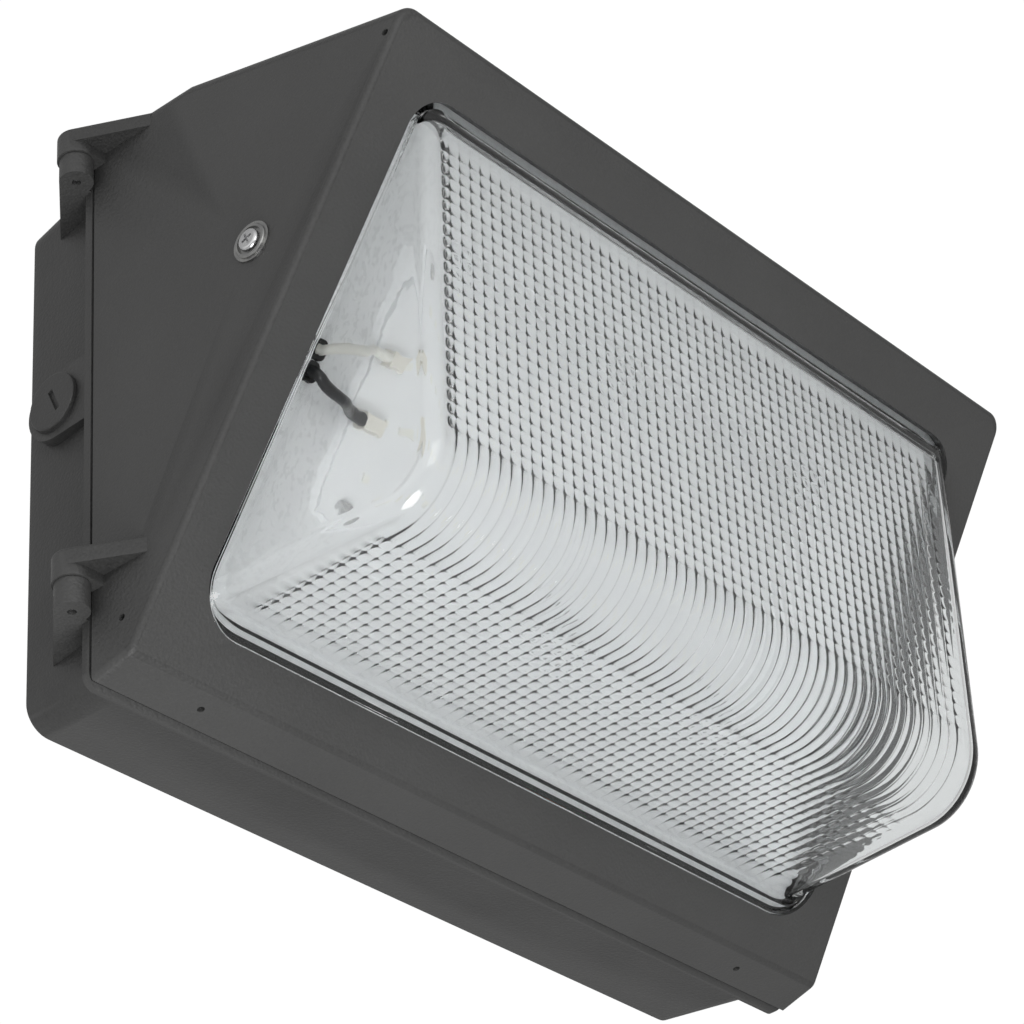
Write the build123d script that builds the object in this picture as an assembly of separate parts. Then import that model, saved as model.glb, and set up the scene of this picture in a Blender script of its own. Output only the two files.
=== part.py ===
from build123d import *
import math
import os

os.makedirs("parts", exist_ok=True)

# Wall pack light. Millimetres. X to the right seen from the front, +Y into the wall, +Z up.
# Origin: centre of the rear mounting face, which lies in the wall plane y = 0.

# ---- driving dimensions -------------------------------------------------------------------
WALL = 3.0                 # casting wall of the door and the housing

# door
DOOR_HW = 180.0            # half width at the rear edge
DOOR_TAPER = 0.0489        # loss of half width per mm of depth
DOOR_REAR_Y = -45.1        # rear edge of the door, side walls
DOOR_REF_Y = -46.6         # depth at which DOOR_HW is measured
DOOR_HH = 115.6            # half height at the rear edge
BEND_Y = -91.5             # where the top turns down
FRONT_TOP = (-192.2, 89.3)     # y, z of the upper front edge
FRONT_BOT = (-62.2, -111.5)    # y, z of the lower front edge
FACE_C, FACE_S = 0.8394, 0.5435    # tilt of the front face, 32.9 degrees from vertical

# glass opening in the front face, v measured up the face from its top edge
OPEN_V_TOP, OPEN_V_BOT = -23.0, -221.5
OPEN_HW_TOP, OPEN_HW_BOT = 152.5, 161.5
OPEN_R_TOP, OPEN_R_BOT = 15.0, 20.0

# glass
GLASS_T = 4.5
NOSE_R = 26.0
GLASS_END_R = 12.0

# housing
BOX_HW0, BOX_HH0 = 168.6, 108.0    # rear footprint half sizes
BOX_DRAFT = 0.095                  # growth of the half sizes per mm towards the rim
BOX_R = 10.0
RIM_HW, RIM_HH, RIM_R = 180.0, 115.6, 5.0
RIM_Y0, RIM_Y1 = -40.5, -43.8      # rear and front face of the rim
GROOVE_W, GROOVE_D = 8.0, 1.5      # gasket groove
GROOVE_OUT = 3.0                   # from the rim's outer edge to the groove

# hinge
HX, HY = -187.3, -43.6
KNUCKLE_R = 6.15
EAR_R = 7.0
PIN_R = 1.52
KNUCKLE_BORE_R = 1.60
KNUCKLES = ((92.1, 101.2), (-91.0, -80.8))        # z ranges
EARS = ((101.4, 105.7, 112.2, -72.9), (-80.6, -76.6, -69.6, -70.2))  # boss foot, wing foot, top, tip y

# closing screws on the right
LUG_X, LUG_R = 185.7, 6.2
LUG_Z = (62.0, -62.0)
SCREW_R = 2.4
SCREW_TRAVEL = 7.5

# wall fixing
WALL_HOLE_DX, WALL_HOLE_DZ, WALL_HOLE_R = 280.0, 160.0, 3.25
ENTRY_Z, ENTRY_R = -30.0, 11.1
JBOX_DX, JBOX_R = 88.9, 2.6

LEAD_R = 1.1
LED_LEAD_R = (1.8, 2.1)    # sleeved leads in the door, white and black


# ---- helpers ------------------------------------------------------------------------------
def fp(u, v, w=0.0):
    """Point given along the width, up the front face and out of it."""
    return (u, FRONT_TOP[0] - FACE_S * v - FACE_C * w, FRONT_TOP[1] + FACE_C * v - FACE_S * w)


FACE = Plane(origin=fp(0, 0, 0), x_dir=(1, 0, 0), z_dir=(0, -FACE_C, -FACE_S))
FL = FACE.location


def box(x0, x1, y0, y1, z0, z1):
    return Pos((x0 + x1) / 2, (y0 + y1) / 2, (z0 + z1) / 2) * Box(abs(x1 - x0), abs(y1 - y0), abs(z1 - z0))


def fbox(u0, u1, v0, v1, w0, w1):
    return FL * box(u0, u1, v0, v1, w0, w1)


def fcyl(u, v, w0, w1, r):
    return FL * (Pos(u, v, (w0 + w1) / 2) * Cylinder(r, abs(w1 - w0)))


def cyl_z(x, y, z0, z1, r):
    return Pos(x, y, (z0 + z1) / 2) * Cylinder(r, abs(z1 - z0))


def cyl_y(x, y0, y1, z, r):
    return Pos(x, (y0 + y1) / 2, z) * Rot(90, 0, 0) * Cylinder(r, abs(y1 - y0))


def cyl_x(x0, x1, y, z, r):
    return Pos((x0 + x1) / 2, y, z) * Rot(0, 90, 0) * Cylinder(r, abs(x1 - x0))


def prism(points, direction, length):
    face = make_face(Polyline(*points, close=True))
    return extrude(face, amount=length, dir=direction)


def inset_polygon(pts, d):
    """Move every side of a closed polygon inwards by d."""
    area = sum(pts[i][0] * pts[(i + 1) % len(pts)][1] - pts[(i + 1) % len(pts)][0] * pts[i][1] for i in range(len(pts)))
    s = 1.0 if area > 0 else -1.0
    lines = []
    for i in range(len(pts)):
        (x0, y0), (x1, y1) = pts[i], pts[(i + 1) % len(pts)]
        ln = math.hypot(x1 - x0, y1 - y0)
        nx, ny = -(y1 - y0) / ln * s, (x1 - x0) / ln * s
        lines.append((x0 + nx * d, y0 + ny * d, x1 - x0, y1 - y0))
    out = []
    for i in range(len(lines)):
        ax, ay, adx, ady = lines[i - 1]
        bx, by, bdx, bdy = lines[i]
        t = ((bx - ax) * bdy - (by - ay) * bdx) / (adx * bdy - ady * bdx)
        out.append((ax + t * adx, ay + t * ady))
    return out


def rrect_xz(hw, hh, r, y, cx=0.0, cz=0.0):
    """Rounded rectangle in the plane y = const, centred on cx, cz."""
    pl = Plane(origin=(cx, y, cz), x_dir=(1, 0, 0), z_dir=(0, -1, 0))
    return pl * RectangleRounded(2 * hw, 2 * hh, r)


def slab_xz(hw, hh, r, y0, y1, cx=0.0, cz=0.0):
    """Rounded slab between y0 and y1 (y1 nearer the front)."""
    return extrude(rrect_xz(hw, hh, r, y0, cx, cz), amount=y0 - y1, dir=(0, -1, 0))


def frect(u0, u1, v0, v1, r, w):
    return FACE.offset(w) * Pos((u0 + u1) / 2, (v0 + v1) / 2) * RectangleRounded(u1 - u0, v1 - v0, r)


def opening_sketch(grow, w):
    """The glass opening, grown by a margin, as a face at height w over the front face."""
    k = (OPEN_HW_BOT - OPEN_HW_TOP) / (OPEN_V_TOP - OPEN_V_BOT)
    g = grow * math.hypot(1.0, k)
    vt, vb = OPEN_V_TOP + grow, OPEN_V_BOT - grow
    ht = OPEN_HW_TOP + g - k * grow
    hb = OPEN_HW_BOT + g + k * grow
    pl = FACE.offset(w)
    sk = make_face(Polyline((-ht, vt), (ht, vt), (hb, vb), (-hb, vb), close=True))
    top = [p for p in sk.vertices() if p.Y > (vt + vb) / 2]
    sk = fillet(top, max(OPEN_R_TOP + grow, 2.0))
    bot = [p for p in sk.vertices() if p.Y < vb + 1.0]
    sk = fillet(bot, max(OPEN_R_BOT + grow, 2.0))
    return pl * sk


def opening_slab(grow, w0, w1):
    """Slab of the opening's outline from w0 up to w1."""
    return extrude(opening_sketch(grow, w0), amount=w1 - w0, dir=(0, -FACE_C, -FACE_S))


def hw_at(y):
    return DOOR_HW - DOOR_TAPER * (DOOR_REF_Y - y)


def edges_near(solid, points, tol):
    """Edges whose middle lies near one of the points."""
    out = []
    for e in solid.edges():
        c = e @ 0.5
        for p in points:
            if math.dist((c.X, c.Y, c.Z), p) < tol:
                out.append(e)
                break
    return out


def export(shape, name):
    shape.label = name
    export_step(shape, f"parts/{name}.step")


def lead(points, radius, name):
    """Lead of straight runs joined by tangent arcs, each as large as its runs allow."""
    P = [Vector(*p) for p in points]
    radii = []
    for i in range(1, len(P) - 1):
        a, b = P[i] - P[i - 1], P[i + 1] - P[i]
        turn = math.radians(a.get_angle(b))
        radii.append(0.45 * min(a.length, b.length) / math.tan(turn / 2))
    print(name, "arc radii", [round(r, 1) for r in radii])
    path = FilletPolyline(*P, radius=radii)
    start = Plane(origin=P[0], z_dir=(P[1] - P[0]))
    body = sweep(start * Circle(radius), path=path)
    print(name, "length", round(path.length, 1), "volume / section x length",
          round(body.volume / (math.pi * radius ** 2 * path.length), 4))
    return body


# ---- door casting -------------------------------------------------------------------------
def wedge(inset, rear_y, r_top, r_front, r_bot, r_ftop, r_fbot, r_bend):
    prof = [(rear_y, DOOR_HH), (BEND_Y, DOOR_HH), FRONT_TOP, FRONT_BOT, (rear_y, -DOOR_HH)]
    if inset:
        prof = inset_polygon(prof, inset)
        prof[0] = (rear_y, prof[0][1])
        prof[-1] = (rear_y, prof[-1][1])
    body = prism([(-200, y, z) for y, z in prof], (1, 0, 0), 400)
    h0, h1 = hw_at(0.0) - inset, hw_at(-220.0) - inset
    plan = prism([(-h0, 0, -140), (h0, 0, -140), (h1, -220, -140), (-h1, -220, -140)], (0, 0, 1), 280)
    body = body & plan
    yr, yb, (yt, zt), (yf, zf) = rear_y, prof[1][0], prof[2], prof[3]
    hh = prof[0][1]

    def mid(a, b, s):
        y, z = (a[0] + b[0]) / 2, (a[1] + b[1]) / 2
        return (s * (hw_at(y) - inset), y, z)

    pr = [(yr, hh), (yb, hh), (yt, zt), (yf, zf), (yr, prof[4][1])]
    sel = edges_near(body, [mid(pr[0], pr[1], s) for s in (-1, 1)] + [mid(pr[1], pr[2], s) for s in (-1, 1)], 2.0)
    body = fillet(sel, r_top)
    if r_fbot:
        body = fillet(edges_near(body, [(0, yf, zf)], 2.0), r_fbot)
    if r_ftop:
        body = fillet(edges_near(body, [(0, yt, zt)], 2.0), r_ftop)
    return body


outer = wedge(0.0, DOOR_REAR_Y, 7.0, 2.0, 4.0, 2.5, 4.5, 0)
inner = wedge(WALL, DOOR_REAR_Y, 4.0, 0, 0, 0, 0, 0)
inner = inner & box(-200, 200, DOOR_REAR_Y - WALL, -220, -140, 140)
door = outer - inner
door = door - box(-168, 168, -30, DOOR_REAR_Y - WALL - 1, -104, 104)
# opening for the glass
door = door - opening_slab(0.0, -9.0, 6.0)
# rounded lower rear edge, the upper half of the parting groove
door = door - prism([(-190, DOOR_REAR_Y + 0.01, -DOOR_HH - 1), (-190, DOOR_REAR_Y + 0.01, -DOOR_HH + 1.0),
                     (-190, DOOR_REAR_Y - 1.1, -DOOR_HH - 0.05), (-190, DOOR_REAR_Y - 1.1, -DOOR_HH - 1)], (1, 0, 0), 380)

# bosses for the glass clips, on the inside of the front wall
CLIPS = [(-80.0, -10.6, 0, -1), (80.0, -10.6, 0, -1), (-80.0, -234.0, 0, 1), (80.0, -234.0, 0, 1)]
for v in (-72.0, -176.0):
    h = OPEN_HW_TOP + (OPEN_V_TOP - v) * (OPEN_HW_BOT - OPEN_HW_TOP) / (OPEN_V_TOP - OPEN_V_BOT) + 12.2
    CLIPS += [(-h, v, 1, 0), (h, v, -1, 0)]
for u, v, du, dv in CLIPS:
    door = door + fcyl(u, v, -WALL + 0.5, -9.5, 3.4)
for u, v, du, dv in CLIPS:
    door = door - fcyl(u, v, -WALL + 0.3, -9.6, 1.5)

# hinge ears on the left: a boss round the pin and a wing that runs out forwards on the door's side
for z_boss, z_wing, z_top, tip_y in EARS:
    tip_x = -hw_at(tip_y)
    # the wing's outer side leaves the boss at a tangent
    dx, dy = tip_x - HX, tip_y - HY
    dist = math.hypot(dx, dy)
    ang = math.atan2(dy, dx) - math.acos(EAR_R / dist)
    tx, ty = HX + EAR_R * math.cos(ang), HY + EAR_R * math.sin(ang)
    outline = make_face(Polyline((tx, ty), (tip_x, tip_y), (tip_x + 5.0, tip_y), (-174.0, HY + 2.0), (HX, HY + 2.0), (HX, HY), close=True)) + Pos(HX, HY) * Circle(EAR_R)
    ear = extrude(Pos(0, 0, z_wing) * outline, amount=z_top - z_wing)
    rim_edges = [e for e in ear.edges() if (e @ 0.5).X < min(tip_x, -179.5) - 0.3 and abs((e @ 0.5).Z - z_top) < 0.01 and (e @ 0.5).Y < HY + 3.0
                 and (e.geom_type == GeomType.CIRCLE or e.length > 20)]
    ear = fillet(rim_edges, 1.6)
    neck = box(HX, -177.2, DOOR_REAR_Y, HY - EAR_R, z_boss, z_top - 2.0)
    ear = ear + cyl_z(HX, HY, z_boss, z_wing + 0.5, EAR_R) + neck
    ear = ear - box(-180.4, -150, -38, DOOR_REAR_Y, z_boss - 1, z_top + 1)
    door = door + (ear - inner)
for z_boss, z_wing, z_top, tip_y in EARS:
    door = door - cyl_z(HX, HY, z_boss - 1, z_top - 2.0, PIN_R)

# lugs for the captive closing screws, on the right
for z in LUG_Z:
    lug = cyl_y(LUG_X, DOOR_REAR_Y, -58.0, z, LUG_R) + box(178.5, LUG_X, DOOR_REAR_Y, -58.0, z - LUG_R, z + LUG_R)
    door = door + (lug - inner)
for z in LUG_Z:
    door = door - cyl_y(LUG_X, -40, -60, z, SCREW_R + 0.3)
    door = door - cyl_y(LUG_X, -40, -54.4, z, 4.6)

# side screw holes, square to the tapered side walls
SCREW_AT = (176.4, -119.8, 24.9)
tn = math.hypot(1.0, DOOR_TAPER)
SIDE_N = {-1: (-1 / tn, -DOOR_TAPER / tn, 0.0), 1: (1 / tn, -DOOR_TAPER / tn, 0.0)}


def side_loc(s, out=0.0):
    nx, ny, nz = SIDE_N[s]
    x = s * hw_at(SCREW_AT[1])
    return Plane(origin=(x + nx * out, SCREW_AT[1] + ny * out, SCREW_AT[2]), x_dir=(0, 0, 1), z_dir=(nx, ny, nz)).location


def side_cyl(s, a, b, r):
    """Cylinder on the side screw's axis from depth a to b, measured outwards from the wall's outer face."""
    return side_loc(s, (a + b) / 2) * Cylinder(r, abs(b - a))


for s in (-1, 1):
    door = door - side_cyl(s, -6, 3, 2.5)
# small drilled holes for an accessory shield
for s in (-1, 1):
    for y, z in ((-181.9, 80.4), (-58.8, -96.9)):
        door = door - cyl_x(s * 168, s * 184, y, z, 1.3)
    door = door - cyl_z(s * 140, -54.0, -120, -108, 1.3)
export(door, "door_frame")

# hinge pins, pressed into the ears and hanging down into the knuckles
for name, (z_boss, z_wing, z_top, tip_y), (k0, k1) in (("hinge_pin_upper", EARS[0], KNUCKLES[0]), ("hinge_pin_lower", EARS[1], KNUCKLES[1])):
    pin = cyl_z(HX, HY, k0 + 1.6, z_top - 2.0, PIN_R)
    pin = chamfer(pin.edges().sort_by(Axis.Z)[0], 0.4)
    export(pin, name)


# ---- glass --------------------------------------------------------------------------------
def glass_block(off):
    """Outer form of the bowl, moved inwards by off."""
    a, b = fp(0, -26.0, -9.5), fp(0, -26.0, 0.0)
    pts = [(a[1], a[2]), (-178.6, b[2] - 0.6), (-171.6, -90.6), (-60.0, -88.0)]
    if off:
        pts = inset_polygon(pts, off)
    face = make_face(Polyline(*[(-200, y, z) for y, z in pts], close=True))
    body = extrude(face, amount=400, dir=(1, 0, 0))
    nose = edges_near(body, [(0, pts[2][0], pts[2][1])], 1.0)
    body = fillet(nose, NOSE_R - off)
    k = (OPEN_HW_BOT - OPEN_HW_TOP) / (OPEN_V_TOP - OPEN_V_BOT)
    for s in (-1, 1):
        # end panel, drafted inwards from the front face to the nose
        def pt(v, w, far):
            u = OPEN_HW_TOP - 3.5 + (OPEN_V_TOP - v) * k - 0.07 * w - off
            return fp(s * (u + far), v, w)
        p00, p01, p10 = Vector(*pt(0, 0, 0)), Vector(*pt(-240, 0, 0)), Vector(*pt(0, 90, 0))
        nrm = (p01 - p00).cross(p10 - p00).normalized()
        if nrm.X * s < 0:
            nrm = nrm * -1
        cut = Plane(origin=p00, x_dir=(p01 - p00).normalized(), z_dir=nrm).location * Pos(0, 0, 100) * Box(900, 900, 200)
        body = body - cut
    ends = [e for e in body.edges() if abs((e @ 0.5).X) > 120 and (e @ 0.5).Y < -95 and abs((e @ 0).X - (e @ 1).X) < 15]
    ends = [e for e in ends if FACE.to_local_coords(e @ 0.5).Z > 5.0]
    body = fillet(ends, GLASS_END_R - off * 0.8)
    return body


bowl_out = glass_block(0.0)
bowl_in = glass_block(GLASS_T)
front_half = fbox(-200, 200, -260, 20, -9.5, 120)
glass = (bowl_out & front_half) + opening_slab(8.0, -9.5, -4.5) + opening_slab(-2.2, -4.6, -0.8)
glass = glass - (bowl_in & fbox(-200, 200, -260, 20, -12, 120))
# window in the flange behind the bowl
glass = glass - opening_slab(-8.5, -12, -4.0)
export(glass, "glass_refractor")

glass_gasket = opening_slab(7.6, -4.5, -3.0) - opening_slab(0.4, -5, -2.5)
export(glass_gasket, "glass_gasket")

clips, clip_screws = [], []
for u, v, du, dv in CLIPS:
    # flat steel clip that bears on the glass flange
    cu, cv = u + du * 3.6, v + dv * 3.6
    hu, hv = (7.4, 6.0) if du else (6.0, 7.4)
    plate = (fbox(cu - hu, cu + hu, cv - hv, cv + hv, -10.7, -9.5) & inner) - fcyl(u, v, -11, -9, 1.6)
    clips.append(plate)
    clip_screws.append(fcyl(u, v, -10.7, -12.7, 2.9) + fcyl(u, v, -10.8, -5.0, 1.45))
export(Compound(children=clips), "glass_clips")
export(Compound(children=clip_screws), "glass_clip_screws")

# ---- reflector tray and the light source ---------------------------------------------------
TU1, TV1A, TV1B, TW1 = 147.0, -31.0, -207.0, -10.2       # mouth
TU0, TV0A, TV0B, TW0 = 112.0, -62.0, -165.0, -28.0       # floor
SHEET = 1.2


def tray_cavity(grow):
    dw = grow
    a = frect(-TU1 - grow, TU1 + grow, TV1B - grow, TV1A + grow, 10 + grow, TW1)
    b = frect(-TU0 - grow, TU0 + grow, TV0B - grow, TV0A + grow, 5 + grow, TW0 - dw)
    return loft([a, b])


tray = tray_cavity(SHEET)
flange = extrude(frect(-154.8, 154.8, -216.5, -19.5, 8, TW1), amount=SHEET, dir=(0, FACE_C, FACE_S))
for s in (-1, 1):
    flange = flange - fbox(s * 80 - 7.4, s * 80 + 7.4, -22.6, -10, TW1 - 3, TW1 + 1)    # notches for the upper glass clips
tray = tray + flange
tray = tray - tray_cavity(0.0) - fbox(-TU1, TU1, TV1B, TV1A, TW1, TW1 + 3)
GROM_U, GROM_V = -144.7, (-118.4, -126.4)      # the two lead grommets sit in slots across the edge of the mouth


def grommet_block(v, grow):
    outline = frect(-147.3 - grow, -142.1 + grow, v - 3.0 - grow, v + 3.0 + grow, 2.4 + grow, -8.9)
    return extrude(outline, amount=6.4, dir=(0, FACE_C, FACE_S))


for gv in GROM_V:
    tray = tray - grommet_block(gv, 0.0)
for su, sv in ((-98, -68), (98, -68), (-98, -158), (98, -158), (-10, -68), (10, -158)):
    tray = tray - fcyl(su, sv, -34, -26, 1.6)
export(tray, "reflector_tray")

spreader = fbox(-105, 105, -162.5, -64.5, -33.2, TW0 - SHEET)
for su, sv in ((-98, -68), (98, -68), (-98, -158), (98, -158), (-10, -68), (10, -158)):
    spreader = spreader - fcyl(su, sv, -34, -26, 1.6)
export(spreader, "heat_spreader")

BOARD_T = 1.6
chips, bscrews = [], []
for s, name in ((-1, "led_board_left"), (1, "led_board_right")):
    u0, u1 = (-108.0, -1.0) if s < 0 else (1.0, 108.0)
    board = fbox(u0, u1, -163.0, -64.0, TW0, TW0 + BOARD_T)
    for su, sv in ((-98, -68), (98, -68), (-98, -158), (98, -158), (-10, -68), (10, -158)):
        if u0 < su < u1:
            board = board - fcyl(su, sv, -34, -20, 1.6)
    export(board, name)
    for i in range(9):
        for j in range(4):
            cu = u0 + 13.5 + i * 10.0
            cv = -82.0 - j * 21.0
            chips.append(fbox(cu - 1.5, cu + 1.5, cv - 1.5, cv + 1.5, TW0 + BOARD_T, TW0 + BOARD_T + 0.7))
for su, sv in ((-98, -68), (98, -68), (-98, -158), (98, -158), (-10, -68), (10, -158)):
    bscrews.append(fcyl(su, sv, TW0 + BOARD_T, TW0 + BOARD_T + 1.8, 2.8) + fcyl(su, sv, TW0 + BOARD_T + 0.1, -33.0, 1.45))
export(Compound(children=chips), "led_chips")
export(Compound(children=bscrews), "board_screws")

TERM_V = (-104.0, -127.5)
terminals = [fbox(-106.0, -97.0, v - 3.0, v + 3.0, TW0 + BOARD_T, TW0 + BOARD_T + 4.2) for v in TERM_V]
export(Compound(children=terminals), "board_terminals")

grommets = []
for gv, lr in zip(GROM_V, LED_LEAD_R):
    grommets.append(grommet_block(gv, 0.7) - tray - fcyl(GROM_U, gv, -18, -6, lr + 0.2))
export(Compound(children=grommets), "lead_grommets")

# tray brackets: a leaf on the side wall behind the screw and a leaf under the tray flange
for s, name in ((-1, "tray_bracket_left"), (1, "tray_bracket_right")):
    leaf = side_loc(s, -WALL - 0.75) * Box(30, 34, 1.5)
    hu = hw_at(-118.0) - WALL - 0.2
    foot = fbox(min(s * 150, s * hu), max(s * 150, s * hu), -112, -78, TW1 - SHEET - 1.5, TW1 - SHEET)
    web = fbox(min(s * (hu - 1.6), s * (hu - 0.1)), max(s * (hu - 1.6), s * (hu - 0.1)), -112, -78, -24, TW1 - SHEET)
    br = (leaf + foot + (web - side_cyl(s, -4.5, -12, 4.3))) - side_cyl(s, -12, 2, 2.5)
    br = br & inner
    export(br, name)

nuts = []
for s, scr, wsh in ((-1, "side_screw_left", "cup_washer_left"), (1, "side_screw_right", "cup_washer_right")):
    # cup washer: flat flange with a raised lip and a dished seat
    washer = side_cyl(s, 0, 0.8, 7.75) + side_cyl(s, 0.8, 1.7, 6.6)
    washer = washer - side_cyl(s, 0.7, 2.0, 5.4) - side_cyl(s, -1, 2, 2.4)
    washer = chamfer([e for e in washer.edges() if e.geom_type == GeomType.CIRCLE and abs(e.radius - 6.6) < 0.01][0:2][-1:], 0.35)
    export(washer, wsh)
    head = side_cyl(s, 0.7, 3.0, 4.25)
    dome = [e for e in head.edges() if e.geom_type == GeomType.CIRCLE and abs((e @ 0).X) > abs(side_loc(s, 2.5).position.X)]
    head = fillet(dome, 1.2)
    cross = side_loc(s, 2.6) * Rot(0, 0, 20) * (Box(4.4, 0.9, 1.6) + Box(0.9, 4.4, 1.6))
    screw = (head - cross) + side_cyl(s, 0.8, -9.5, 2.0)
    export(screw, scr)
    nuts.append(side_cyl(s, -WALL - 1.5, -WALL - 5.5, 4.0) - side_cyl(s, -2, -20, 2.0))
export(Compound(children=nuts), "bracket_nuts")

# ---- leads in the door ---------------------------------------------------------------------
CONN_X, CONN_Z = -150.0, -5.0
plug_half = box(CONN_X - 6, CONN_X + 6, -66.0, -50.6, CONN_Z - 6, CONN_Z + 6)
plug_half = chamfer(plug_half.edges().filter_by(Axis.Y), 1.0)
export(plug_half, "connector_plug")

white = lead([(CONN_X, -66.0, -2.4), (CONN_X, -78.0, -2.4), fp(-146.0, -119.6, -36.0), fp(GROM_U, GROM_V[0], -21.0), fp(GROM_U, GROM_V[0], -5.2),
              fp(-136.5, -114.0, -6.6), fp(-124.0, -109.7, -11.5), fp(-111.5, TERM_V[0], -24.0), fp(-106.0, TERM_V[0], -24.0)], LED_LEAD_R[0], "led_lead_white")
black = lead([(CONN_X, -66.0, -7.6), (CONN_X, -78.0, -7.6), fp(-146.0, -127.4, -36.0), fp(GROM_U, GROM_V[1], -21.0), fp(GROM_U, GROM_V[1], -5.2),
              fp(-136.5, -129.4, -7.0), fp(-124.0, -129.2, -11.5), fp(-111.5, TERM_V[1], -24.0), fp(-106.0, TERM_V[1], -24.0)], LED_LEAD_R[1], "led_lead_black")
export(white, "led_lead_white")
export(black, "led_lead_black")

# ---- rear housing --------------------------------------------------------------------------


def box_half(y):
    return BOX_HW0 - BOX_DRAFT * y, BOX_HH0 - BOX_DRAFT * y


hw1, hh1 = box_half(RIM_Y0)
h_out = loft([rrect_xz(BOX_HW0, BOX_HH0, BOX_R, 0.0), rrect_xz(hw1, hh1, BOX_R, RIM_Y0)])
hwa, hha = box_half(-WALL)
hwb, hhb = box_half(RIM_Y1 - 1.0)
h_in = loft([rrect_xz(hwa - WALL, hha - WALL, BOX_R - WALL, -WALL), rrect_xz(hwb - WALL, hhb - WALL, BOX_R - WALL, RIM_Y1 - 1.0)])
rim = slab_xz(RIM_HW, RIM_HH, RIM_R, RIM_Y0, RIM_Y1)
housing = h_out + rim
# chamfered lower front edge of the rim, the lower half of the parting groove
housing = housing - prism([(-190, RIM_Y1 - 0.01, -RIM_HH - 1), (-190, RIM_Y1 - 0.01, -RIM_HH + 1.8),
                           (-190, RIM_Y1 + 1.7, -RIM_HH - 0.05), (-190, RIM_Y1 + 1.7, -RIM_HH - 1)], (1, 0, 0), 380)

# conduit bosses on both sides
CB_Y, CB_Z, CB_R, CB_X = -19.3, 13.2, 13.9, 174.5
for s in (-1, 1):
    slab = cyl_x(s * 162.0, s * CB_X, CB_Y, CB_Z, CB_R) + box(min(s * 162, s * CB_X), max(s * 162, s * CB_X), CB_Y, RIM_Y0 - 0.2, CB_Z - CB_R, CB_Z + CB_R)
    keep = box(min(s * 168, s * 180), max(s * 168, s * 180), 0, -43, -20, 40) + cyl_x(s * 162.0, s * 176, CB_Y, CB_Z, CB_R)
    housing = housing + (slab & keep)

# hinge knuckles with webs that run out rearwards on the side wall
for (k0, k1), tip_y in zip(KNUCKLES, (-16.0, -15.0)):
    tip_x = -(BOX_HW0 - BOX_DRAFT * tip_y)
    web_z = k0 + 5.0
    web = prism([(HX - KNUCKLE_R, HY, k0), (HX - KNUCKLE_R + 0.6, HY + 3.0, k0), (tip_x, tip_y, k0), (tip_x + 3.0, tip_y, k0),
                 (-170.0, RIM_Y0 + 0.5, k0), (-180.0, RIM_Y0 - 1.0, k0), (-181.2, HY, k0)], (0, 0, 1), web_z - k0)
    knuckle = cyl_z(HX, HY, k0, k1, KNUCKLE_R)
    neck = prism([(HX, HY, k0), (HX - 3.0, HY + 5.0, k0), (-184.0, -37.0, k0), (-172.0, -37.0, k0), (-172.0, RIM_Y1 + 0.4, k0), (-180.4, RIM_Y1 + 0.4, k0)],
                 (0, 0, 1), k1 - k0)
    housing = housing + (web - h_in) + knuckle + (neck - h_in)
for k0, k1 in KNUCKLES:
    housing = housing - cyl_z(HX, HY, k0 - 1, k1 + 1, KNUCKLE_BORE_R)

# lugs on the right for the closing screws
for z in LUG_Z:
    lug = cyl_y(LUG_X, RIM_Y1, -34.0, z, LUG_R) + box(172.0, LUG_X, RIM_Y1, -34.0, z - LUG_R, z + LUG_R)
    housing = housing + (lug - h_in)

housing = housing - h_in
# standoffs for the driver plate
PLATE_AT = [(-88.0, 34.0), (88.0, 34.0), (-88.0, 80.0), (88.0, 80.0)]
PLATE_Y = -8.0
for x, z in PLATE_AT:
    housing = housing + cyl_y(x, -WALL + 0.5, PLATE_Y, z, 4.5)
for x, z in PLATE_AT:
    housing = housing - cyl_y(x, -2.0, PLATE_Y - 1, z, 1.6)
# ground screw boss
GND = (66.0, -62.0)
housing = housing + cyl_y(GND[0], -WALL + 0.5, -6.0, GND[1], 4.5) - cyl_y(GND[0], -2.0, -7.0, GND[1], 1.6)
# inner thickening of the conduit bosses and the threaded holes
for s in (-1, 1):
    housing = housing + (cyl_x(s * 160.0, s * 170.0, CB_Y, CB_Z, CB_R) & box(-180, 180, -WALL + 0.5, -43, -40, 60))
for s in (-1, 1):
    housing = housing - cyl_x(s * 155.0, s * 180.0, CB_Y, CB_Z, 10.35)
# closing-screw threads, wall holes, wire entry
for z in LUG_Z:
    housing = housing - cyl_y(LUG_X, -30.0, -50.0, z, SCREW_R + 0.27)
for sx in (-1, 1):
    for sz in (-1, 1):
        housing = housing - cyl_y(sx * WALL_HOLE_DX / 2, 2, -6, sz * WALL_HOLE_DZ / 2, WALL_HOLE_R)
    housing = housing - cyl_y(sx * JBOX_DX / 2, 2, -6, ENTRY_Z, JBOX_R)
housing = housing - cyl_y(0, 2, -6, ENTRY_Z, ENTRY_R)
# gasket groove in the rim
groove = slab_xz(RIM_HW - GROOVE_OUT, RIM_HH - GROOVE_OUT, RIM_R - 1.5, RIM_Y1 + GROOVE_D, RIM_Y1 - 0.5)
groove = groove - slab_xz(RIM_HW - GROOVE_OUT - GROOVE_W + 3.2, RIM_HH - GROOVE_OUT - GROOVE_W + 3.2, 4.0, RIM_Y1 + 2.5, RIM_Y1 - 1.5)
housing = housing - groove
export(housing, "rear_housing")

gasket = slab_xz(RIM_HW - GROOVE_OUT - 0.2, RIM_HH - GROOVE_OUT - 0.2, RIM_R - 1.7, RIM_Y1 + GROOVE_D, -44.8)
gasket = gasket - slab_xz(RIM_HW - GROOVE_OUT - GROOVE_W + 3.4, RIM_HH - GROOVE_OUT - GROOVE_W + 3.4, 4.2, RIM_Y1 + 2.5, -46.0)
export(gasket, "door_gasket")

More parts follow.
